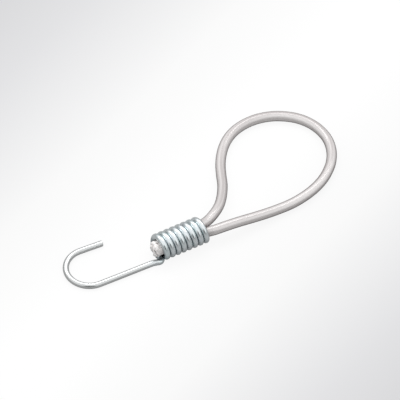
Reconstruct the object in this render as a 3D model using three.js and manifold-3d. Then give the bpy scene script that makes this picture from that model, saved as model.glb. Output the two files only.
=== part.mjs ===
// Bungee loop: an elastic cord whose two ends are gripped in the close coil of a bent wire hook.
// Millimetres, Z up. The part lies on a table as it is put down. X runs along the coil's axis, from
// the hook to the loop, and the origin is on the table under the coil's middle turn.

import * as THREE from 'three';
import { mergeVertices } from 'three/addons/utils/BufferGeometryUtils.js';
import Module from 'manifold-3d';

const wasm = await Module();
wasm.setup();

// Cord
const CORD_DIAMETER = 5;
const CORD_SIDES = 12;
const LEG_STEPS = 26;
const BIGHT_STEPS = 30;
const CORD_GAP = 0.3; // between two stretches of the cord, end to end

// Wire of the hook
const WIRE_DIAMETER = 2.7;
const WIRE_SIDES = 12;
const WIRE_END_CHAMFER = 0.3;
const FLAT_DEPTH = 0.5; // wire and cord bear on the table on a flat of this depth
const CUT_BOX = 400; // edge of the box above the table that the flats are cut with
const WELD_DISTANCE = 1e-5; // points closer than this are one point

// Coil, wound close on the cord's two ends
const COIL_OUTER_DIAMETER = 13.7;
const COIL_PITCH = 3.15;
const COIL_TURNS = 8; // from the shank, lowest point to lowest point
const COIL_RUN_ON = 0.06; // of a turn, past the lowest point to the wire's cut end
const STEPS_PER_TURN = 24;
const LEAST_WIRE_GAP = 0.4;
const NEIGHBOUR_REACH = 3; // wire diameters along the wire that the gap is not measured within

// Shank and hook, in the plane of the table
const CORNER_REACH = 4.6; // from the coil's lowest point out to the corner, before rounding
const CORNER_BACK = 0.3; // from that point, towards the hook
const CORNER_RADIUS = 1.6;
const CORNER_STEPS = 7;
const SHANK_LENGTH = 32.3;
const SHANK_LEAN = THREE.MathUtils.degToRad(3.4); // across the coil's axis
const HOOK_RADIUS = 11.4;
const HOOK_STEPS = 26;
const LIMB_LENGTH = 12.5;
const LIMB_LEAN = THREE.MathUtils.degToRad(4); // closing the hook's mouth a little

// Cord ends in the coil, each squeezed to a half round
const TAIL_POINTS = 16;
const TAIL_CLEARANCE = 0.35; // to the wire
const TAIL_OFFSET = 1.8; // from the coil's axis to the middle of one squeezed end
const TAIL_HALF_GAP = 0.2; // between the two ends
const TAIL_CORNER = 7; // exponent that rounds the corners of the half round
const TAIL_FLARE_STEPS = 6;
const TAIL_STUB_TURN = 3; // lobes round a crushed cut end
const TAIL_STUB_LOBE = 0.05;

// Route of the free cord, from the near side of the coil's mouth round the loop to its far side.
// It comes down from the mouth and lies on the table.
const ROUTE = [
  [17.5, -3.2, 6.3], [23.5, -3.5, 6.1], [30, -3.6, 5.4], [37, -3.7, 4.3], [45, -3.8, 3.2],
  [52.5, -3.7, 2.4], [59.5, -3.4, 2], [66.5, -2.4, 2], [73, -0.6, 2], [79, 2.1, 2],
  [84.3, 5.8, 2], [89, 10.6, 2], [92.6, 16.8, 2], [94.4, 24, 2], [93.8, 31.4, 2],
  [91.4, 37.7, 2], [87.8, 42.7, 2], [83.2, 46.6, 2], [77.8, 49.6, 2], [71.7, 51.4, 2],
  [65.5, 51.8, 2], [59, 50.7, 2], [53.4, 48.2, 2], [48.5, 44.4, 2], [44.4, 39.7, 2],
  [41, 34.4, 2.1], [38.1, 28.4, 2.6], [35.1, 21.7, 3.5], [31.2, 15.3, 4.5], [26.8, 9.9, 5.5],
  [21.9, 6.1, 6.1], [16.5, 3.4, 6.3],
];
// Parts of the route's length where the legs end and the bight between them begins and ends
const NEAR_LEG_END = 0.325;
const FAR_LEG_START = 0.655;

const wireRadius = WIRE_DIAMETER / 2;
const cordRadius = CORD_DIAMETER / 2;
const coilRadius = COIL_OUTER_DIAMETER / 2 - wireRadius;
const wireHeight = wireRadius - FLAT_DEPTH;
const axisHeight = wireHeight + coilRadius;
const coilStart = -COIL_PITCH * COIL_TURNS / 2;
const tailBore = coilRadius - wireRadius - TAIL_CLEARANCE;

const zincSteel = new THREE.MeshStandardMaterial({ color: 0xbcc2c4, metalness: 1, roughness: 0.28 });
const elastomer = new THREE.MeshStandardMaterial({ color: 0xdbd5d1, metalness: 0, roughness: 0.35 });

// Volume inside a triangle mesh, negative when its faces point inwards
function signedVolume(position, index) {
  const [a, b, c] = [new THREE.Vector3(), new THREE.Vector3(), new THREE.Vector3()];
  let volume = 0;
  for (let i = 0; i < index.length; i += 3) {
    a.fromArray(position, index[i] * 3);
    b.fromArray(position, index[i + 1] * 3);
    c.fromArray(position, index[i + 2] * 3);
    volume += a.dot(b.cross(c)) / 6;
  }
  return volume;
}

function turnOutwards(position, index) {
  if (signedVolume(position, index) > 0) return index;
  const turned = index.slice();
  for (let i = 0; i < turned.length; i += 3) {
    [turned[i], turned[i + 1]] = [turned[i + 1], turned[i]];
  }
  return turned;
}

// Closed body through a row of rings of points, with a fan over each end
function loft(rings) {
  const sides = rings[0].length;
  const last = rings.length - 1;
  const position = [];
  const index = [];
  for (const ring of rings) {
    for (const point of ring) position.push(point.x, point.y, point.z);
  }
  for (let r = 0; r < last; r++) {
    for (let s = 0; s < sides; s++) {
      const a = r * sides + s;
      const b = r * sides + (s + 1) % sides;
      index.push(a, b, a + sides, b, b + sides, a + sides);
    }
  }
  for (let s = 1; s < sides - 1; s++) {
    index.push(0, s + 1, s);
    index.push(last * sides, last * sides + s, last * sides + s + 1);
  }
  const geometry = new THREE.BufferGeometry();
  geometry.setAttribute('position', new THREE.Float32BufferAttribute(position, 3));
  geometry.setIndex(turnOutwards(position, index));
  geometry.computeVertexNormals();
  return geometry;
}

// Round rings along a row of points, carried from one to the next without twist
function roundRings(points, radiusAt, sides) {
  const rings = [];
  const tangent = new THREE.Vector3();
  const lastTangent = new THREE.Vector3();
  const normal = new THREE.Vector3(0, 0, 1);
  const turn = new THREE.Quaternion();
  points.forEach((point, i) => {
    const before = points[Math.max(i - 1, 0)];
    const after = points[Math.min(i + 1, points.length - 1)];
    tangent.subVectors(after, before).normalize();
    if (i > 0) normal.applyQuaternion(turn.setFromUnitVectors(lastTangent, tangent));
    lastTangent.copy(tangent);
    normal.addScaledVector(tangent, -normal.dot(tangent)).normalize();
    const across = new THREE.Vector3().crossVectors(tangent, normal);
    const ring = [];
    for (let s = 0; s < sides; s++) {
      const angle = (s + 0.5) / sides * 2 * Math.PI;
      const corner = point.clone().addScaledVector(normal, radiusAt(i) * Math.cos(angle));
      ring.push(corner.addScaledVector(across, radiusAt(i) * Math.sin(angle)));
    }
    rings.push(ring);
  });
  return rings;
}

function toSolid(geometry) {
  const bare = geometry.clone();
  for (const name of ['normal', 'uv']) bare.deleteAttribute(name);
  const merged = mergeVertices(bare, WELD_DISTANCE);
  const position = merged.attributes.position.array;
  const index = turnOutwards(position, Array.from(merged.index.array));
  return new wasm.Manifold(new wasm.Mesh({
    numProp: 3,
    vertProperties: Float32Array.from(position),
    triVerts: Uint32Array.from(index),
  }));
}

function fromSolid(solid) {
  const mesh = solid.getMesh();
  const geometry = new THREE.BufferGeometry();
  geometry.setAttribute('position', new THREE.Float32BufferAttribute(mesh.vertProperties, 3));
  geometry.setIndex(Array.from(mesh.triVerts));
  geometry.computeVertexNormals();
  return geometry;
}

// Keeps what lies above the table, which leaves a flat where the piece bears on it
function cutFlat(geometry) {
  const above = new THREE.BoxGeometry(CUT_BOX, CUT_BOX, CUT_BOX).translate(0, 0, CUT_BOX / 2);
  return fromSolid(toSolid(geometry).intersect(toSolid(above)));
}

function coilPoint(turn) {
  const angle = 2 * Math.PI * turn;
  return new THREE.Vector3(
    coilStart + COIL_PITCH * turn,
    coilRadius * Math.sin(angle),
    axisHeight - coilRadius * Math.cos(angle),
  );
}

function coilPoints() {
  const turns = COIL_TURNS + COIL_RUN_ON;
  const steps = Math.round(turns * STEPS_PER_TURN);
  return Array.from({ length: steps + 1 }, (_, i) => coilPoint(i / steps * turns));
}

// Arc of the given radius that rounds the corner between two straight runs
function cornerPoints(before, corner, after, radius, steps) {
  const back = new THREE.Vector3().subVectors(before, corner).normalize();
  const ahead = new THREE.Vector3().subVectors(after, corner).normalize();
  const halfAngle = back.angleTo(ahead) / 2;
  const middle = new THREE.Vector3().addVectors(back, ahead).normalize();
  const centre = corner.clone().addScaledVector(middle, radius / Math.sin(halfAngle));
  const start = corner.clone().addScaledVector(back, radius / Math.tan(halfAngle)).sub(centre);
  const end = corner.clone().addScaledVector(ahead, radius / Math.tan(halfAngle)).sub(centre);
  const axis = new THREE.Vector3().crossVectors(start, end).normalize();
  const sweep = start.angleTo(end);
  return Array.from({ length: steps + 1 }, (_, i) => (
    start.clone().applyAxisAngle(axis, i / steps * sweep).add(centre)
  ));
}

// Middle line of the wire, from the hook's tip round the hook, along the shank and round the coil
function wirePoints() {
  const coil = coilPoints();
  const corner = coil[0].clone().add(new THREE.Vector3(-CORNER_BACK, -CORNER_REACH, 0));
  const towardsHook = new THREE.Vector3(-Math.cos(SHANK_LEAN), Math.sin(SHANK_LEAN), 0);
  const shankEnd = corner.clone().addScaledVector(towardsHook, SHANK_LENGTH);
  const inwards = new THREE.Vector3(Math.sin(SHANK_LEAN), Math.cos(SHANK_LEAN), 0);
  const centre = shankEnd.clone().addScaledVector(inwards, HOOK_RADIUS);
  const limbAngle = Math.PI / 2 - LIMB_LEAN;
  const shankAngle = 3 * Math.PI / 2 - SHANK_LEAN;
  const hook = Array.from({ length: HOOK_STEPS + 1 }, (_, i) => {
    const angle = THREE.MathUtils.lerp(limbAngle, shankAngle, i / HOOK_STEPS);
    const spoke = new THREE.Vector3(Math.cos(angle), Math.sin(angle), 0);
    return spoke.multiplyScalar(HOOK_RADIUS).add(centre);
  });
  const limb = new THREE.Vector3(Math.cos(LIMB_LEAN), -Math.sin(LIMB_LEAN), 0);
  const tip = hook[0].clone().addScaledVector(limb, LIMB_LENGTH);
  const belowTip = tip.clone().addScaledVector(limb, -WIRE_END_CHAMFER);
  const bend = cornerPoints(shankEnd, corner, coil[0], CORNER_RADIUS, CORNER_STEPS);
  const chamferTurn = WIRE_END_CHAMFER / (2 * Math.PI * coilRadius);
  const coilEnd = coilPoint(COIL_TURNS + COIL_RUN_ON + chamferTurn);
  return [tip, belowTip, ...hook, ...bend, ...coil, coilEnd];
}

// Least clear distance between stretches of the wire that are not neighbours along it
function leastGap(points) {
  const along = [0];
  for (let i = 1; i < points.length; i++) {
    along.push(along[i - 1] + points[i].distanceTo(points[i - 1]));
  }
  const neighbours = NEIGHBOUR_REACH * WIRE_DIAMETER;
  let least = Infinity;
  for (let i = 0; i < points.length; i++) {
    for (let j = i + 1; j < points.length; j++) {
      if (along[j] - along[i] < neighbours) continue;
      least = Math.min(least, points[i].distanceTo(points[j]));
    }
  }
  return least - WIRE_DIAMETER;
}

function spiralHook() {
  const points = wirePoints();
  const gap = leastGap(points);
  console.log(`least gap of the wire to itself: ${gap.toFixed(2)} mm`);
  if (gap <= LEAST_WIRE_GAP) throw new Error('the turns of the coil are too close');
  const last = points.length - 1;
  const radiusAt = (i) => (i === 0 || i === last ? wireRadius - WIRE_END_CHAMFER : wireRadius);
  return cutFlat(loft(roundRings(points, radiusAt, WIRE_SIDES)));
}

const route = new THREE.CatmullRomCurve3(ROUTE.map((point) => new THREE.Vector3(...point)));
const routeLength = route.getLength();

// Middle line of one stretch of the free cord, between two places along its route
class RouteStretch extends THREE.Curve {
  constructor(from, to) {
    super();
    this.from = from;
    this.to = to;
  }

  getPoint(t, target) {
    return route.getPointAt(THREE.MathUtils.lerp(this.from, this.to, t), target);
  }
}

function cordStretch(from, to, steps) {
  const gap = CORD_GAP / 2 / routeLength;
  const extrudePath = new RouteStretch(from + gap, to - gap);
  const section = new THREE.Shape(
    Array.from({ length: CORD_SIDES }, (_, i) => {
      const angle = (i + 0.5) / CORD_SIDES * 2 * Math.PI;
      return new THREE.Vector2(cordRadius * Math.cos(angle), cordRadius * Math.sin(angle));
    }),
  );
  return cutFlat(new THREE.ExtrudeGeometry(section, { extrudePath, steps, bevelEnabled: false }));
}

// Distance from the middle of a squeezed end to its skin. Angle 0 points away from the coil's axis.
function squeezedRadius(angle) {
  const outwards = Math.cos(angle);
  const upwards = Math.sin(angle);
  const toBore = Math.sqrt(tailBore ** 2 - (TAIL_OFFSET * upwards) ** 2) - TAIL_OFFSET * outwards;
  if (outwards >= 0) return toBore;
  const toPartner = (TAIL_OFFSET - TAIL_HALF_GAP) / -outwards;
  return (toBore ** -TAIL_CORNER + toPartner ** -TAIL_CORNER) ** (-1 / TAIL_CORNER);
}

// Ring of a cord end, square to its direction, that goes from half round to round with roundness
function tailRing(side, centre, direction, roundness, size, lobe) {
  const outwards = new THREE.Vector3(0, 0, side).cross(direction).normalize();
  const upwards = new THREE.Vector3().crossVectors(direction, outwards).multiplyScalar(side);
  return Array.from({ length: TAIL_POINTS }, (_, i) => {
    const angle = i / TAIL_POINTS * 2 * Math.PI;
    const radius = THREE.MathUtils.lerp(squeezedRadius(angle), cordRadius, roundness);
    const waved = radius * size * (1 + lobe * Math.sin(TAIL_STUB_TURN * angle));
    return centre.clone()
      .addScaledVector(outwards, waved * Math.cos(angle))
      .addScaledVector(upwards, waved * Math.sin(angle));
  });
}

// One end of the cord: crushed stub outside the coil, half round inside it, round again at its mouth
function cordTail({ side, stub, flareStart, routePlace }) {
  const along = new THREE.Vector3(1, 0, 0);
  const rings = stub.map(({ x, size, out }) => {
    const centre = new THREE.Vector3(x, side * (TAIL_OFFSET + out), axisHeight);
    return tailRing(side, centre, along, 0, size, TAIL_STUB_LOBE);
  });
  const flareFrom = new THREE.Vector3(flareStart, side * TAIL_OFFSET, axisHeight);
  const clampFrom = flareFrom.clone().setX(coilStart + COIL_PITCH / 2);
  rings.push(tailRing(side, clampFrom, along, 0, 1, 0));
  const legTangent = route.getTangentAt(routePlace).multiplyScalar(routePlace === 0 ? 1 : -1);
  const flareTo = route.getPointAt(routePlace).addScaledVector(legTangent, -CORD_GAP / 2);
  const handle = flareFrom.distanceTo(flareTo) / 3;
  const flare = new THREE.CubicBezierCurve3(
    flareFrom,
    flareFrom.clone().addScaledVector(along, handle),
    flareTo.clone().addScaledVector(legTangent, -handle),
    flareTo,
  );
  for (let i = 0; i <= TAIL_FLARE_STEPS; i++) {
    const t = i / TAIL_FLARE_STEPS;
    const roundness = THREE.MathUtils.smoothstep(t, 0, 1);
    rings.push(tailRing(side, flare.getPoint(t), flare.getTangent(t), roundness, 1, 0));
  }
  return loft(rings);
}

const nearTail = {
  side: -1,
  routePlace: 0,
  flareStart: 13.6,
  stub: [
    { x: -15.9, size: 0.45, out: 0 },
    { x: -15.6, size: 0.8, out: 0 },
    { x: -14.8, size: 1, out: 0.05 },
    { x: -13.6, size: 1.03, out: 0.1 },
  ],
};
const farTail = {
  side: 1,
  routePlace: 1,
  flareStart: 12.2,
  stub: [
    { x: -15.3, size: 0.4, out: 0 },
    { x: -15, size: 0.78, out: 0 },
    { x: -14.4, size: 0.95, out: 0 },
    { x: -13.6, size: 1, out: 0 },
  ],
};

function addPiece(group, name, geometry, material) {
  const mesh = new THREE.Mesh(geometry, material);
  mesh.name = name;
  group.add(mesh);
}

const bungee = new THREE.Group();
addPiece(bungee, 'spiral_hook', spiralHook(), zincSteel);
addPiece(bungee, 'cord_tail_near', cordTail(nearTail), elastomer);
addPiece(bungee, 'cord_tail_far', cordTail(farTail), elastomer);
addPiece(bungee, 'loop_leg_near', cordStretch(0, NEAR_LEG_END, LEG_STEPS), elastomer);
addPiece(bungee, 'loop_bight', cordStretch(NEAR_LEG_END, FAR_LEG_START, BIGHT_STEPS), elastomer);
addPiece(bungee, 'loop_leg_far', cordStretch(FAR_LEG_START, 1, LEG_STEPS), elastomer);
console.log(`free cord: ${routeLength.toFixed(1)} mm`);

export default bungee;
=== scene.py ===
import math

import bmesh
import bpy
from mathutils import Matrix, Vector, geometry, noise
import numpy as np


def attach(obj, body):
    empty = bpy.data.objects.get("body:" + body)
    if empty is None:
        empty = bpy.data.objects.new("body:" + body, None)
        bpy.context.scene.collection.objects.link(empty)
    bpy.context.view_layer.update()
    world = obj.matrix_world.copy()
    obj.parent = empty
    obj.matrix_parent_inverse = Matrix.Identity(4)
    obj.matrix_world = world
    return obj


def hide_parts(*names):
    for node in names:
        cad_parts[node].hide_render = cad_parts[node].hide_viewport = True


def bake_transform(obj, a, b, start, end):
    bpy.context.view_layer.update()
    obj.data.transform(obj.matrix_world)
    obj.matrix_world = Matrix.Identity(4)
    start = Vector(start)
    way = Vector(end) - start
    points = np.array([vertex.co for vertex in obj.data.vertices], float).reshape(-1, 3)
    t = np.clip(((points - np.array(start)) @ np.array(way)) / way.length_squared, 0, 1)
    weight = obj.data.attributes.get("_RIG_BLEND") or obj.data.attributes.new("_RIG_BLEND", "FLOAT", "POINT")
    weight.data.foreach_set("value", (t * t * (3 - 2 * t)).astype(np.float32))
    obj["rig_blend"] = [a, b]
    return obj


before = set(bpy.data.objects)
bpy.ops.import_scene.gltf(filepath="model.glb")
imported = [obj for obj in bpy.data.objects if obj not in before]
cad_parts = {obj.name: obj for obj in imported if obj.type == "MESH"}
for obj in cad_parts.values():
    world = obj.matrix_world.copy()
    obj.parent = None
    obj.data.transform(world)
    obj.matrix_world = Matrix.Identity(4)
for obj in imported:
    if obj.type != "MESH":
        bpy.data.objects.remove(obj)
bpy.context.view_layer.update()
scene = bpy.context.scene
scene.view_settings.view_transform = "Standard"

mm = 0.001
# The solids stand on flats half a millimetre deep, but real round pieces hardly dent, so they lie higher
liftOffFlats = 0.35 * mm
coilAxisHeight = 6.42 * mm + liftOffFlats


def point(x, y, z):
    return Vector((x, y, z)) * mm


def clamp(share):
    return min(max(share, 0), 1)


def ease(share):
    share = clamp(share)
    return share * share * (3 - 2 * share)


# Photo view: a long lens, high over the hook's end of the part
photoView = {
    "aim": point(15.17, 7.93, 18.65),
    "azimuth": -28.75,
    "elevation": 50,
    "frameWidth": 192.8 * mm,
    "lens": 1600,
    "farthest": 20,
}


def addCamera(setup):
    turn, rise = math.radians(setup["azimuth"]), math.radians(setup["elevation"])
    back = Vector((math.sin(turn) * math.cos(rise), -math.cos(turn) * math.cos(rise), math.sin(rise)))
    lens = bpy.data.cameras.new("photoLens")
    lens.lens = setup["lens"]
    lens.clip_end = setup["farthest"]
    camera = bpy.data.objects.new("photoCamera", lens)
    scene.collection.objects.link(camera)
    camera.location = setup["aim"] + back * setup["frameWidth"] * setup["lens"] / lens.sensor_width
    camera.rotation_euler = (-back).to_track_quat("-Z", "Y").to_euler()
    scene.camera = camera


addCamera(photoView)
print("camera placed")


def hexColour(code):
    channels = [int(code[i:i + 2], 16) / 255 for i in (1, 3, 5)]
    linear = [c / 12.92 if c <= 0.04045 else ((c + 0.055) / 1.055) ** 2.4 for c in channels]
    return (*linear, 1)


def newMaterial(name):
    material = bpy.data.materials.new(name)
    material.use_nodes = True
    material.node_tree.nodes.clear()
    return material, material.node_tree


def addNode(tree, kind, inputs=None, stops=None, **settings):
    node = tree.nodes.new("ShaderNode" + kind)
    for name, value in settings.items():
        setattr(node, name, value)
    if stops:
        while len(node.color_ramp.elements) < len(stops):
            node.color_ramp.elements.new(1)
        for element, (place, colour) in zip(node.color_ramp.elements, stops):
            element.position = place
            element.color = colour
    for socket, value in (inputs or {}).items():
        if isinstance(value, bpy.types.NodeSocket):
            tree.links.new(value, node.inputs[socket])
        else:
            node.inputs[socket].default_value = value
    return node


# Line through given places, bent evenly from one to the next
def smoothLine(places, spacing):
    line = []
    last = len(places) - 1
    for i in range(last):
        here, there = places[i], places[i + 1]
        gap = (there - here).length
        reach = gap / 3
        leaving = (there - places[max(i - 1, 0)]).normalized() * reach
        arriving = (places[min(i + 2, last)] - here).normalized() * reach
        steps = max(2, math.ceil(gap / spacing))
        line += geometry.interpolate_bezier(here, here + leaving, there - arriving, there, steps + 1)[:-1]
    return line + [places[last]]


def lengthsAlong(line):
    along = [0.0]
    for before, here in zip(line, line[1:]):
        along.append(along[-1] + (here - before).length)
    return along


# Sweeps a ring along a line by extruding its edge. reachAt(i, angle) is the skin's distance from the line.
# Each point also keeps its place on the straightened-out piece, for patterns that follow the surface.
def sweepRing(mesh, line, frames, sides, reachAt):
    angleLayer = mesh.verts.layers.float.new("roundAngle")
    straightLayer = mesh.verts.layers.float_vector.new("straightened")
    along = lengthsAlong(line)
    ring = bmesh.ops.create_circle(mesh, segments=sides, radius=1)["verts"]
    for vert in ring:
        vert[angleLayer] = math.atan2(vert.co.y, vert.co.x)
    edges = mesh.edges[:]
    for i, (centre, (side, up)) in enumerate(zip(line, frames)):
        if i:
            grown = bmesh.ops.extrude_edge_only(mesh, edges=edges)["geom"]
            ring = {g for g in grown if isinstance(g, bmesh.types.BMVert)}
            edges = [g for g in grown if isinstance(g, bmesh.types.BMEdge) and ring.issuperset(g.verts)]
        for vert in ring:
            angle = vert[angleLayer]
            reach = reachAt(i, angle)
            vert.co = centre + (side * math.cos(angle) + up * math.sin(angle)) * reach
            vert[straightLayer] = (reach * math.cos(angle), reach * math.sin(angle), along[i])
    mesh.verts.layers.float.remove(angleLayer)
    bmesh.ops.holes_fill(mesh, edges=[e for e in mesh.edges if e.is_boundary], sides=0)
    bmesh.ops.recalc_face_normals(mesh, faces=mesh.faces)


def standOnTable(mesh):
    for vert in mesh.verts:
        vert.co.z = max(vert.co.z, 0)


# The ends of a sweep are its only faces with more than four corners
def finishPiece(name, mesh, materials, smoothEnds=False):
    for face in mesh.faces:
        face.smooth = smoothEnds or len(face.verts) == 4
    data = bpy.data.meshes.new(name)
    mesh.to_mesh(data)
    mesh.free()
    for material in materials:
        data.materials.append(material)
    piece = bpy.data.objects.new(name, data)
    scene.collection.objects.link(piece)
    return piece


# Extruded elastomer cord: a milky skin with faint lines along it, under a tinted clear layer, so that its
# edges look deeper than its middle
def makeExtrudedElastomer():
    material, tree = newMaterial("extrudedElastomer")
    straight = addNode(tree, "Attribute", attribute_name="straightened")
    drawn = addNode(tree, "Mapping", {  # the shift picks a stretch of the noise with clear lines
        "Vector": straight.outputs["Vector"], "Location": (0, 0, 40 * mm), "Scale": (1, 1, 0.02)})
    streaks = addNode(tree, "TexNoise", {  # die lines 1.4 mm wide and some 70 mm long
        "Vector": drawn.outputs["Vector"], "Scale": 700, "Detail": 1})
    clouds = addNode(tree, "TexNoise", {  # uneven gloss, in patches of 5 mm
        "Vector": straight.outputs["Vector"], "Scale": 200, "Detail": 2})
    colour = addNode(tree, "ValToRGB", {"Fac": streaks.outputs["Fac"]}, stops=[
        (0.36, hexColour("#dcd9d8")), (0.6, hexColour("#fdfcfb"))])
    gloss = addNode(tree, "MapRange", {
        "Value": clouds.outputs["Fac"], "From Min": 0.3, "From Max": 0.7, "To Min": 0.18, "To Max": 0.22})
    skin = addNode(tree, "BsdfPrincipled", {
        "Base Color": colour.outputs["Color"],
        "Roughness": gloss.outputs["Result"],
        "IOR": 1.6,
        "Specular IOR Level": 1,
        "Coat Weight": 1,
        "Coat Roughness": 0.2,
        "Coat IOR": 1.01,
        "Coat Tint": hexColour("#d9d7d7"),
    })
    addNode(tree, "OutputMaterial", {"Surface": skin.outputs["BSDF"]})
    return material


# The same elastomer where it is cut and crushed: whiter and duller from stress, with painted shade in its
# folds
def makeCrushedElastomer():
    material, tree = newMaterial("crushedElastomer")
    straight = addNode(tree, "Attribute", attribute_name="straightened")
    fold = addNode(tree, "Attribute", attribute_name="fold")
    mottle = addNode(tree, "TexNoise", {  # stress marks of about a millimetre
        "Vector": straight.outputs["Vector"], "Scale": 1000, "Detail": 3})
    white = addNode(tree, "ValToRGB", {"Fac": mottle.outputs["Fac"]}, stops=[
        (0.3, hexColour("#dad6d5")), (0.7, hexColour("#f6f4f3"))])
    # Painted shade: the fold share darkens the colour towards the middle of each fold
    creaseShaded = addNode(tree, "Mix", {
        "Factor": fold.outputs["Fac"],
        "A": white.outputs["Color"],
        "B": hexColour("#3e3c3d"),
    }, data_type="RGBA")
    grain = addNode(tree, "Bump", {
        "Height": mottle.outputs["Fac"], "Strength": 0.4, "Distance": 0.1 * mm})
    skin = addNode(tree, "BsdfPrincipled", {
        "Base Color": creaseShaded.outputs["Result"],
        "Normal": grain.outputs["Normal"],
        "Roughness": 0.3,
        "IOR": 1.5,
        "Subsurface Weight": 0.2,
        "Subsurface Radius": (1.0, 0.9, 0.85),
        "Subsurface Scale": 0.6 * mm,
    })
    addNode(tree, "OutputMaterial", {"Surface": skin.outputs["BSDF"]})
    return material


# Bright zinc on drawn steel wire: a softened mirror with a cold blue-green cast and drawing lines along it
def makeBrightZinc():
    material, tree = newMaterial("brightZincWire")
    straight = addNode(tree, "Attribute", attribute_name="straightened")
    place = addNode(tree, "TexCoord")
    drawn = addNode(tree, "Mapping", {"Vector": straight.outputs["Vector"], "Scale": (1, 1, 0.04)})
    scratches = addNode(tree, "TexNoise", {  # drawing lines 0.2 mm wide and some 5 mm long
        "Vector": drawn.outputs["Vector"], "Scale": 5000, "Detail": 3})
    film = addNode(tree, "TexNoise", {  # tint of the passivated film, in patches of 4 mm
        "Vector": place.outputs["Object"], "Scale": 250, "Detail": 2})
    tint = addNode(tree, "ValToRGB", {"Fac": film.outputs["Fac"]}, stops=[
        (0.3, hexColour("#cad6d8")), (0.5, hexColour("#d4dadc")), (0.7, hexColour("#d0d7db"))])
    gloss = addNode(tree, "MapRange", {
        "Value": scratches.outputs["Fac"], "From Min": 0.3, "From Max": 0.7, "To Min": 0.16, "To Max": 0.3})
    lines = addNode(tree, "Bump", {
        "Height": scratches.outputs["Fac"], "Strength": 0.2, "Distance": 0.02 * mm})
    fromHook = addNode(tree, "SeparateXYZ", {"Vector": place.outputs["Object"]})
    filmed = addNode(tree, "MapRange", {  # the film is thinner, and so less blue, on the shank and the hook
        "Value": fromHook.outputs["X"], "From Min": -22 * mm, "From Max": -12 * mm})
    plated = addNode(tree, "Mix", {
        "Factor": filmed.outputs["Result"],
        "A": hexColour("#c4c6c6"),
        "B": tint.outputs["Color"],
    }, data_type="RGBA")
    groove = addNode(tree, "Attribute", attribute_name="groove")
    shadedZinc = addNode(tree, "Mix", {  # painted shade between the turns and inside the coil, fading out towards the top
        "Factor": groove.outputs["Fac"],
        "A": plated.outputs["Result"],
        "B": hexColour("#959da0"),
    }, data_type="RGBA")
    skin = addNode(tree, "BsdfPrincipled", {
        "Base Color": shadedZinc.outputs["Result"],
        "Metallic": 1,
        "Roughness": gloss.outputs["Result"],
        "Normal": lines.outputs["Normal"],
    })
    addNode(tree, "OutputMaterial", {"Surface": skin.outputs["BSDF"]})
    return material


# Cord: one piece, from its crushed near end through the coil, round the loop and back through the coil.
# Places are in mm, along the coil's axis or as x, y and z.
cord = {
    "diameter": 5 * mm,
    "sides": 56,
    "ringSpacing": 0.8 * mm,
    "endOffset": 1.8 * mm,  # from the coil's axis to the middle of a squeezed end
    "bore": 3.9 * mm,  # radius that the two squeezed ends fill
    "halfGap": 0.04 * mm,  # between the two squeezed ends
    "corner": 7,  # how square the flat side's corners are
    "twist": {"from": 0, "to": 11, "turn": math.radians(40)},  # of the two ends round each other
    "insideStops": [0, 6],  # where the squeezed ends' lines are set on their way through the coil
    "nearEnd": -15.7,
    "farEnd": -15.3,
    "stub": {"length": 4, "steps": 44},  # from each cut end inwards, with rings closer towards the cut
    "nearFlare": 11,
    "farFlare": 10.2,
    "flareLength": 4.2 * mm,  # over which a leg goes from squeezed to round
    "dome": {"length": 1.7 * mm, "bluntness": 2.6, "tip": 0.02},  # of the cut ends, the tip as a share
    "crushedLength": 5 * mm,
    "crushedFade": 3.125 * mm,  # over which the lumps die away
    "whiteLength": 9 * mm,
    "lumps": [(1.9 * mm, 0.5 * mm), (0.9 * mm, 0.2 * mm)],  # size and height
    "creases": [  # folds in the cut faces, from place to place
        ((-15.4, 0.7, 7.7), (-15.2, -0.5, 6.4)), ((-15.6, -2.2, 8.9), (-15.1, -3.1, 7.8)),
        ((-15.2, -0.9, 6.2), (-15, -1.9, 5.1)), ((-15, -3.4, 7.3), (-14.4, -3.7, 6.5)),
    ],
    "crease": {"width": 0.5 * mm, "depth": 0.6 * mm},
    "route": [
        (17.5, -3.2, 6.3), (23.5, -3.5, 6.1), (30, -3.6, 5.4), (37, -3.7, 4.3), (45, -3.8, 3.2),
        (52.5, -3.7, 2.4), (59.5, -3.4, 2), (66.5, -2.4, 2), (73, -0.6, 2), (79, 2.1, 2),
        (84.3, 5.8, 2), (89, 10.6, 2), (92.6, 16.8, 2), (94.4, 24, 2), (93.8, 31.4, 2),
        (91.4, 37.7, 2), (87.8, 42.7, 2), (83.2, 46.6, 2), (77.8, 49.6, 2), (71.7, 51.4, 2),
        (65.5, 51.8, 2), (59, 50.7, 2), (53.4, 48.2, 2), (48.5, 44.4, 2), (44.4, 39.7, 2),
        (41, 34.4, 2.1), (38.1, 28.4, 2.6), (35.1, 21.7, 3.5), (31.2, 15.3, 4.5), (26.8, 9.9, 5.5),
        (21.9, 6.1, 6.1), (16.5, 3.4, 6.3),
    ],
    "pull": Vector((0.9553, 0.2957, 0)),  # the joint's axis
    "pullStart": point(14.5, 0, 6.3),
    "pullLength": 60 * mm,
}


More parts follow.
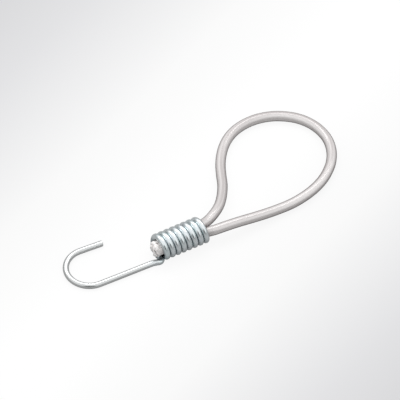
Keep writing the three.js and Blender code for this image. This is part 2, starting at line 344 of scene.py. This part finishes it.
def makeCord(setup):
    radius = setup["diameter"] / 2
    offset = setup["endOffset"]
    lift = Vector((0, 0, liftOffFlats))
    twist, stub, dome = setup["twist"], setup["stub"], setup["dome"]
    near, far = -1, 1

    def twistAt(x):
        return twist["turn"] * clamp((x - twist["from"]) / (twist["to"] - twist["from"]))

    def insidePlace(x, leg):
        turn, reach = twistAt(x), leg * offset
        return Vector((x * mm, reach * math.cos(turn), coilAxisHeight + reach * math.sin(turn)))

    def stubLine(end, leg):
        shares = [i / stub["steps"] for i in range(stub["steps"])]
        return [insidePlace(end + stub["length"] * share ** 2, leg) for share in shares]

    nearStops = [setup["nearEnd"] + stub["length"], *setup["insideStops"], setup["nearFlare"]]
    farStops = [setup["farFlare"], *reversed(setup["insideStops"]), setup["farEnd"] + stub["length"]]
    nearInside = [insidePlace(x, near) for x in nearStops]
    farInside = [insidePlace(x, far) for x in farStops]
    nearExit, farExit = nearInside[-1], farInside[0]
    free = [point(*place) + lift for place in setup["route"]]
    middle = smoothLine(nearInside + free + farInside, setup["ringSpacing"])
    line = stubLine(setup["nearEnd"], near) + middle + stubLine(setup["farEnd"], far)[::-1]
    along = lengthsAlong(line)
    whole = along[-1]
    nearMouth = along[line.index(nearExit)]
    farMouth = along[line.index(farExit)]

    frames = []
    for i in range(len(line)):
        ahead = (line[min(i + 1, len(line) - 1)] - line[max(i - 1, 0)]).normalized()
        side = ahead.cross(Vector((0, 0, 1))).normalized()
        frames.append((side, side.cross(ahead)))

    def squeezed(angle):
        out, up = math.cos(angle), math.sin(angle)
        toBore = math.sqrt(setup["bore"] ** 2 - (offset * up) ** 2) - offset * out
        if out >= 0:
            return toBore
        toPartner = (offset - setup["halfGap"]) / -out
        return (toBore ** -setup["corner"] + toPartner ** -setup["corner"]) ** (-1 / setup["corner"])

    def reachAt(i, angle):
        fromMouth = max(nearMouth - along[i], along[i] - farMouth)  # above 0 inside the coil
        squeeze = ease(1 + fromMouth / setup["flareLength"])
        leg = near if along[i] < whole / 2 else far
        reach = radius + (squeezed(angle - leg * twistAt(line[i].x / mm)) - radius) * squeeze
        fromCut = min(along[i], whole - along[i])
        if fromCut < dome["length"]:
            fall = 1 - fromCut / dome["length"]
            reach *= max(math.sqrt(1 - fall ** dome["bluntness"]), dome["tip"])
        return reach

    def creaseAt(place):
        depth = 0
        for start, end in setup["creases"]:
            start, end = point(*start), point(*end)
            share = geometry.intersect_point_line(place, start, end)[1]
            nearest = start.lerp(end, clamp(share))
            depth = max(depth, 1 - (place - nearest).length / setup["crease"]["width"])
        return ease(depth)

    mesh = bmesh.new()
    sweepRing(mesh, line, frames, setup["sides"], reachAt)
    mesh.normal_update()
    straightLayer = mesh.verts.layers.float_vector["straightened"]
    foldLayer = mesh.verts.layers.float.new("fold")
    whitened = set()
    for vert in mesh.verts:
        place = vert[straightLayer].z
        fromCut = min(place, whole - place)
        if fromCut < setup["whiteLength"]:
            whitened.add(vert)
        crushed = clamp((setup["crushedLength"] - fromCut) / setup["crushedFade"])
        if crushed == 0:
            continue
        swell = sum(tall * noise.noise(vert.co / wide) for wide, tall in setup["lumps"])
        groove = creaseAt(vert.co)
        # the fold share dents the cut faces and also drives the painted shade in the folds
        vert[foldLayer] = groove
        vert.co += vert.normal * (crushed * swell - setup["crease"]["depth"] * groove)
    standOnTable(mesh)
    for face in mesh.faces:
        face.material_index = 1 if whitened.issuperset(face.verts) else 0
    skins = [makeExtrudedElastomer(), makeCrushedElastomer()]
    piece = finishPiece("elasticCord", mesh, skins, smoothEnds=True)
    pullEnd = setup["pullStart"] + setup["pull"] * setup["pullLength"]
    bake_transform(piece, "hook", "bight", setup["pullStart"], pullEnd)
    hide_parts("cord_tail_near", "loop_leg_near", "loop_bight", "loop_leg_far", "cord_tail_far")
    print(f"cord made, {whole / mm:.1f} mm from cut to cut")


makeCord(cord)

# Spiral hook: one wire from the hook's tip round the hook, along the shank and round the coil
spiralHook = {
    "diameter": 3 * mm,
    "sides": 28,
    "coilOuter": 14 * mm,
    "start": -12.4 * mm,  # along the coil's axis, where the wire comes in from the corner
    "pitch": 3.06 * mm,
    "turns": 8,
    "runOn": 0.06,  # of a turn, past the lowest point to the wire's cut end
    "stepsPerTurn": 72,
    "cornerReach": 4.8 * mm,
    "cornerAhead": 1 * mm,
    "cornerRadius": 1.6 * mm,
    "cornerSteps": 18,
    "kneeReach": 5.4 * mm,  # from the corner back to where the wire starts to turn out to it
    "kneeLean": math.radians(17),
    "kneeRadius": 9 * mm,
    "kneeSteps": 6,
    "shankLength": 28.75 * mm,
    "shankLean": math.radians(1.62),
    "straightSpacing": 1 * mm,
    "hookRadius": 11.4 * mm,
    "hookSteps": 60,
    "limbLength": 12 * mm,
    "limbLean": math.radians(4),
    "endRound": 0.35 * mm,
    "endSteps": 5,
    "paintedGrooveShade": {  # painted shade between the turns and inside the coil, which fades out towards the top
        "band": 0.6,  # of the wire's radius
        "unshadedAbove": 0.75,  # of the coil's radius, over its axis
        "fade": 0.5,  # of the coil's radius
    },
}


def roundCorner(before, corner, after, radius, steps):
    back, ahead = (before - corner).normalized(), (after - corner).normalized()
    halfAngle = back.angle(ahead) / 2
    centre = corner + (back + ahead).normalized() * radius / math.sin(halfAngle)
    start = corner + back * radius / math.tan(halfAngle) - centre
    axis = start.cross(corner + ahead * radius / math.tan(halfAngle) - centre)
    sweep = math.pi - 2 * halfAngle
    return [centre + Matrix.Rotation(sweep * i / steps, 3, axis) @ start for i in range(steps + 1)]


def makeSpiralHook(setup):
    radius = setup["diameter"] / 2
    coilRadius = setup["coilOuter"] / 2 - radius
    coilStart = setup["start"]

    def coilPlace(turn):
        angle = 2 * math.pi * turn
        return Vector((coilStart + setup["pitch"] * turn, coilRadius * math.sin(angle),
                       coilAxisHeight - coilRadius * math.cos(angle)))

    turns = setup["turns"] + setup["runOn"]
    steps = round(turns * setup["stepsPerTurn"])
    coil = [coilPlace(turns * i / steps) for i in range(steps + 1)]
    corner = coil[0] + Vector((setup["cornerAhead"], -setup["cornerReach"], 0))
    lean, kneeLean = setup["shankLean"], setup["kneeLean"]
    knee = corner + Vector((-math.cos(kneeLean), math.sin(kneeLean), 0)) * setup["kneeReach"]
    shankEnd = knee + Vector((-math.cos(lean), math.sin(lean), 0)) * setup["shankLength"]
    centre = shankEnd + Vector((math.sin(lean), math.cos(lean), 0)) * setup["hookRadius"]
    fromAngle, toAngle = math.pi / 2 - setup["limbLean"], 1.5 * math.pi - lean
    hook = []
    for i in range(setup["hookSteps"] + 1):
        angle = fromAngle + (toAngle - fromAngle) * i / setup["hookSteps"]
        hook.append(centre + Vector((math.cos(angle), math.sin(angle), 0)) * setup["hookRadius"])
    alongLimb = Vector((math.cos(setup["limbLean"]), -math.sin(setup["limbLean"]), 0))
    tip = hook[0] + alongLimb * setup["limbLength"]
    kneeBend = roundCorner(shankEnd, knee, corner, setup["kneeRadius"], setup["kneeSteps"])
    bend = roundCorner(knee, corner, coil[0], setup["cornerRadius"], setup["cornerSteps"])

    def straightRun(start, end):
        count = math.ceil((end - start).length / setup["straightSpacing"])
        return [start.lerp(end, i / count) for i in range(1, count)]

    line = [tip, *straightRun(tip, hook[0]), *hook, *straightRun(shankEnd, kneeBend[0]), *kneeBend,
            *straightRun(kneeBend[-1], bend[0]), *bend, *coil]
    roundSteps = setup["endSteps"]
    for i in range(1, roundSteps):
        line.insert(i, tip.lerp(hook[0], setup["endRound"] / setup["limbLength"] * i / roundSteps))
    endTurn = setup["endRound"] / (2 * math.pi * coilRadius)
    line += [coilPlace(turns + endTurn * i / roundSteps) for i in range(1, roundSteps + 1)]
    along = lengthsAlong(line)

    frames = []
    up = Vector((0, 0, 1))
    lastAhead = None
    for i in range(len(line)):
        ahead = (line[min(i + 1, len(line) - 1)] - line[max(i - 1, 0)]).normalized()
        if lastAhead:
            up = lastAhead.rotation_difference(ahead) @ up
        up = (up - ahead * up.dot(ahead)).normalized()
        frames.append((ahead.cross(up), up))
        lastAhead = ahead

    def reachAt(i, angle):
        fromCut = min(along[i], along[-1] - along[i])
        if fromCut >= setup["endRound"]:
            return radius
        fall = 1 - fromCut / setup["endRound"]
        return radius - setup["endRound"] * (1 - math.sqrt(1 - fall ** 2))

    mesh = bmesh.new()
    sweepRing(mesh, line, frames, setup["sides"], reachAt)
    grooveLayer = mesh.verts.layers.float.new("groove")
    paintedGrooveShade = setup["paintedGrooveShade"]
    band = paintedGrooveShade["band"] * radius
    for vert in mesh.verts:
        # Painted shade: the groove share darkens the wire on the coil's inside and between its turns, less
        # towards the top
        if vert.co.x > coilStart - radius:
            overAxis = vert.co.z - coilAxisHeight
            inward = clamp((coilRadius + band - math.hypot(vert.co.y, overAxis)) / band)
            lowShade = clamp((paintedGrooveShade["unshadedAbove"] - overAxis / coilRadius) / paintedGrooveShade["fade"])
            vert[grooveLayer] = inward * lowShade
    standOnTable(mesh)
    piece = finishPiece("spiralHook", mesh, [makeBrightZinc()])
    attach(piece, "hook")
    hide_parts("spiral_hook")
    print(f"spiral hook made, {along[-1] / mm:.0f} mm of wire")


makeSpiralHook(spiralHook)

# Table: a pale sheet that greys towards two corners of the photo
table = {
    "size": 4,
    "below": 0.05 * mm,
    "middle": (22.5, 21.4),  # of the bright band, in mm
    "paper": "#fafafa",
    "bounce": "#a8a8a8",  # the sheet as the part gets light from it, darker than as the camera sees it
    # Painted shade: the glow that the camera sees greys from the bright band towards two corners
    "fade": [(0.1, "#fcfcfc"), (0.4, "#f6f6f6"), (0.8, "#dcdcde"), (1, "#d2d2d4")],
    "fadeWidth": 193.2 * mm,  # from the middle to the last of these colours
    "ownLight": 0.92,  # share of the sheet's look that shadows leave alone
    "mirroredLight": 0.1,  # the same share, as seen in metal
}


def makeTable(setup):
    material, tree = newMaterial("paperSheet")
    place = addNode(tree, "TexCoord")
    turn = math.radians(photoView["azimuth"])
    across = Vector((math.cos(turn), math.sin(turn), 0))
    away = Vector((-math.sin(turn), math.cos(turn), 0)) * math.sin(math.radians(photoView["elevation"]))
    shifted = addNode(tree, "VectorMath", {
        0: place.outputs["Object"], 1: point(*setup["middle"], 0)}, operation="SUBTRACT")
    slant = addNode(tree, "VectorMath", {
        0: shifted.outputs["Vector"], 1: (across - away) / setup["fadeWidth"]}, operation="DOT_PRODUCT")
    fade = addNode(tree, "Math", {0: slant.outputs["Value"]}, operation="ABSOLUTE")
    colour = addNode(tree, "ValToRGB", {"Fac": fade.outputs["Value"]}, stops=[
        (at, hexColour(code)) for at, code in setup["fade"]])
    path = addNode(tree, "LightPath")
    lit = addNode(tree, "Mix", {
        "Factor": path.outputs["Is Camera Ray"],
        "A": hexColour(setup["bounce"]),
        "B": hexColour(setup["paper"]),
    }, data_type="RGBA")
    matt = addNode(tree, "BsdfDiffuse", {"Color": lit.outputs["Result"]})
    glow = addNode(tree, "Emission", {"Color": colour.outputs["Color"], "Strength": 1})
    mirrored = addNode(tree, "Math", {
        0: path.outputs["Is Glossy Ray"], 1: path.outputs["Is Transmission Ray"]}, operation="MAXIMUM")
    mirroredShare = addNode(tree, "Math", {
        0: mirrored.outputs["Value"], 1: setup["mirroredLight"]}, operation="MULTIPLY")
    share = addNode(tree, "Math", {
        0: path.outputs["Is Camera Ray"], 1: setup["ownLight"], 2: mirroredShare.outputs["Value"]},
        operation="MULTIPLY_ADD")
    mixed = addNode(tree, "MixShader", {
        "Fac": share.outputs["Value"], 1: matt.outputs["BSDF"], 2: glow.outputs["Emission"]})
    addNode(tree, "OutputMaterial", {"Surface": mixed.outputs["Shader"]})
    mesh = bmesh.new()
    bmesh.ops.create_grid(mesh, x_segments=1, y_segments=1, size=setup["size"] / 2)
    bmesh.ops.translate(mesh, verts=mesh.verts, vec=(0, 0, -setup["below"]))
    finishPiece("table", mesh, [material])


makeTable(table)
print("table laid")

# Studio: a long soft box over the part, and a white tent that is open and dark where the camera stands
studio = {
    "tent": [(0.5, 0.45), (0.6, 0.56), (0.66, 0.9), (0.74, 1.22), (1, 1.28)],  # level from table to top
    "opening": {"towards": (-0.43, -0.79, 0.44), "level": 0.12, "edge": 0.89, "middle": 0.985},
    "softBox": {"place": (0.23, 0.418, 0.763), "size": (1.2, 0.2), "power": 3.8},
}


def makeStudio(setup):
    world = bpy.data.worlds.new("studio")
    world.use_nodes = True
    tree = world.node_tree
    tree.nodes.clear()
    place = addNode(tree, "TexCoord")
    height = addNode(tree, "SeparateXYZ", {"Vector": place.outputs["Generated"]})
    rise = addNode(tree, "MapRange", {"Value": height.outputs["Z"], "From Min": -1, "From Max": 1})
    tent = addNode(tree, "ValToRGB", {"Fac": rise.outputs["Result"]}, stops=[
        (at, (level, level, level, 1)) for at, level in setup["tent"]])
    hole = setup["opening"]
    nearness = addNode(tree, "VectorMath", {
        0: place.outputs["Generated"], 1: Vector(hole["towards"]).normalized()}, operation="DOT_PRODUCT")
    opening = addNode(tree, "MapRange", {
        "Value": nearness.outputs["Value"], "From Min": hole["edge"], "From Max": hole["middle"],
        "To Min": 1, "To Max": hole["level"]}, interpolation_type="SMOOTHSTEP")
    path = addNode(tree, "LightPath")
    shown = addNode(tree, "Mix", {
        "Factor": path.outputs["Is Camera Ray"],
        "A": tent.outputs["Color"],
        "B": (1, 1, 1, 1),
    }, data_type="RGBA")
    strength = addNode(tree, "Math", {
        0: opening.outputs["Result"], 1: path.outputs["Is Camera Ray"]}, operation="MAXIMUM")
    light = addNode(tree, "Background", {
        "Color": shown.outputs["Result"], "Strength": strength.outputs["Value"]})
    addNode(tree, "OutputWorld", {"Surface": light.outputs["Background"]})
    scene.world = world
    box = setup["softBox"]
    lamp = bpy.data.lights.new("softBox", "AREA")
    lamp.shape = "RECTANGLE"
    lamp.size, lamp.size_y = box["size"]
    lamp.energy = box["power"]
    holder = bpy.data.objects.new("softBox", lamp)
    scene.collection.objects.link(holder)
    holder.location = box["place"]
    holder.rotation_euler = Vector(box["place"]).to_track_quat("Z", "Y").to_euler()


makeStudio(studio)
print("studio lit")
